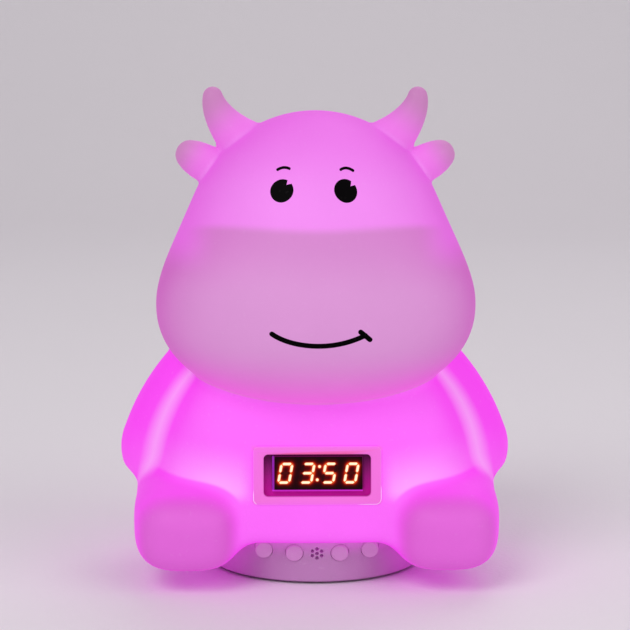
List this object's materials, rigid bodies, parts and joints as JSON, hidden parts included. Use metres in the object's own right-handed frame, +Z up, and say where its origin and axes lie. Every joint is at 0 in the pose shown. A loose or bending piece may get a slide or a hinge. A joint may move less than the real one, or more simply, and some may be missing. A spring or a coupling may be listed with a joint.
{
  "type": "kids alarm clock with night light",
  "caption": "Seated toy-animal night light: hollow glowing silicone figure on a round plastic base, with a clock display in its belly and a row of push buttons.",
  "frame": {"origin": "on the table, under the axis of the round base, at the middle of the anti-slip pad's face", "axes": "+Z up; the face and the display look along -Y; +X to the viewer's right"},
  "size_m": [0.1384, 0.1129, 0.1663],
  "materials": {
    "silicone": "matt translucent silicone, lit from inside in magenta",
    "white_abs": "moulded white ABS, fine spark finish",
    "button_abs": "moulded white ABS, smooth",
    "pad_rubber": "grey EVA foam rubber",
    "screw_steel": "zinc-plated steel",
    "switch_body": "black moulded nylon",
    "green_board": "glass-fibre board with green solder mask",
    "white_board": "aluminium-core board with white solder mask",
    "black_plastic": "black moulded plastic",
    "chip_plastic": "black epoxy and nylon connectors",
    "grey_cable": "grey PVC flat cable",
    "wire_skin": "PVC-covered wire",
    "socket_steel": "tinned steel",
    "cell_foil": "matt aluminium-laminate pouch",
    "foam_tape": "double-sided foam tape",
    "milky_plastic": "milky translucent polypropylene, lit from inside",
    "light_chip": "colour-changing light chips with clear caps",
    "case_plastic": "white reflector case of a light-segment display",
    "black_face": "black printed face",
    "lit_segment": "epoxy light segment, lit warm white to orange",
    "dark_segment": "epoxy light segment, not lit",
    "pin_brass": "tinned brass pins"
  },
  "bodies": {
    "case": {"silicone_cover": "silicone", "base_housing": "white_abs", "bottom_cover": "white_abs", "anti_slip_pad": "pad_rubber", "case_screws": "screw_steel", "push_switches": "switch_body", "button_board": "green_board", "button_board_screws": "screw_steel", "alarm_buzzer": "black_plastic", "button_cable": "grey_cable", "main_board": "green_board", "main_board_parts": "chip_plastic", "main_board_screws": "screw_steel", "charging_socket": "socket_steel", "power_switch": "socket_steel", "battery": "cell_foil", "battery_tape": "foam_tape", "battery_leads": "wire_skin", "lamp_dome": "milky_plastic", "dome_screws": "screw_steel", "light_board": "white_board", "light_chips": "light_chip", "light_board_screws": "screw_steel", "light_leads": "wire_skin", "display_holder": "white_abs", "holder_screws": "screw_steel", "display_case": "case_plastic", "display_face": "black_face", "lit_segments": "lit_segment", "dark_segments": "dark_segment", "display_pins": "pin_brass", "display_board": "green_board", "display_cable": "grey_cable"},
    "far_left_button": {"button_far_left": "button_abs", "plunger_far_left": "black_plastic"},
    "near_left_button": {"button_near_left": "button_abs", "plunger_near_left": "black_plastic"},
    "near_right_button": {"button_near_right": "button_abs", "plunger_near_right": "black_plastic"},
    "far_right_button": {"button_far_right": "button_abs", "plunger_far_right": "black_plastic"},
    "slider": {"power_slider": "black_plastic"}
  },
  "joints": [
    {"name": "far_left_button_press", "type": "slide", "parent": "case", "child": "far_left_button", "axis": [0, 0.9816, 0.1908], "range_m": [0, 0.0005], "stiffness_N_per_m": 300},
    {"name": "near_left_button_press", "type": "slide", "parent": "case", "child": "near_left_button", "axis": [0, 0.9816, 0.1908], "range_m": [0, 0.0005], "stiffness_N_per_m": 300},
    {"name": "near_right_button_press", "type": "slide", "parent": "case", "child": "near_right_button", "axis": [0, 0.9816, 0.1908], "range_m": [0, 0.0005], "stiffness_N_per_m": 300},
    {"name": "far_right_button_press", "type": "slide", "parent": "case", "child": "far_right_button", "axis": [0, 0.9816, 0.1908], "range_m": [0, 0.0005], "stiffness_N_per_m": 300},
    {"name": "slider_throw", "type": "slide", "parent": "case", "child": "slider", "axis": [1, 0, 0], "range_m": [0, 0.002]}
  ]
}
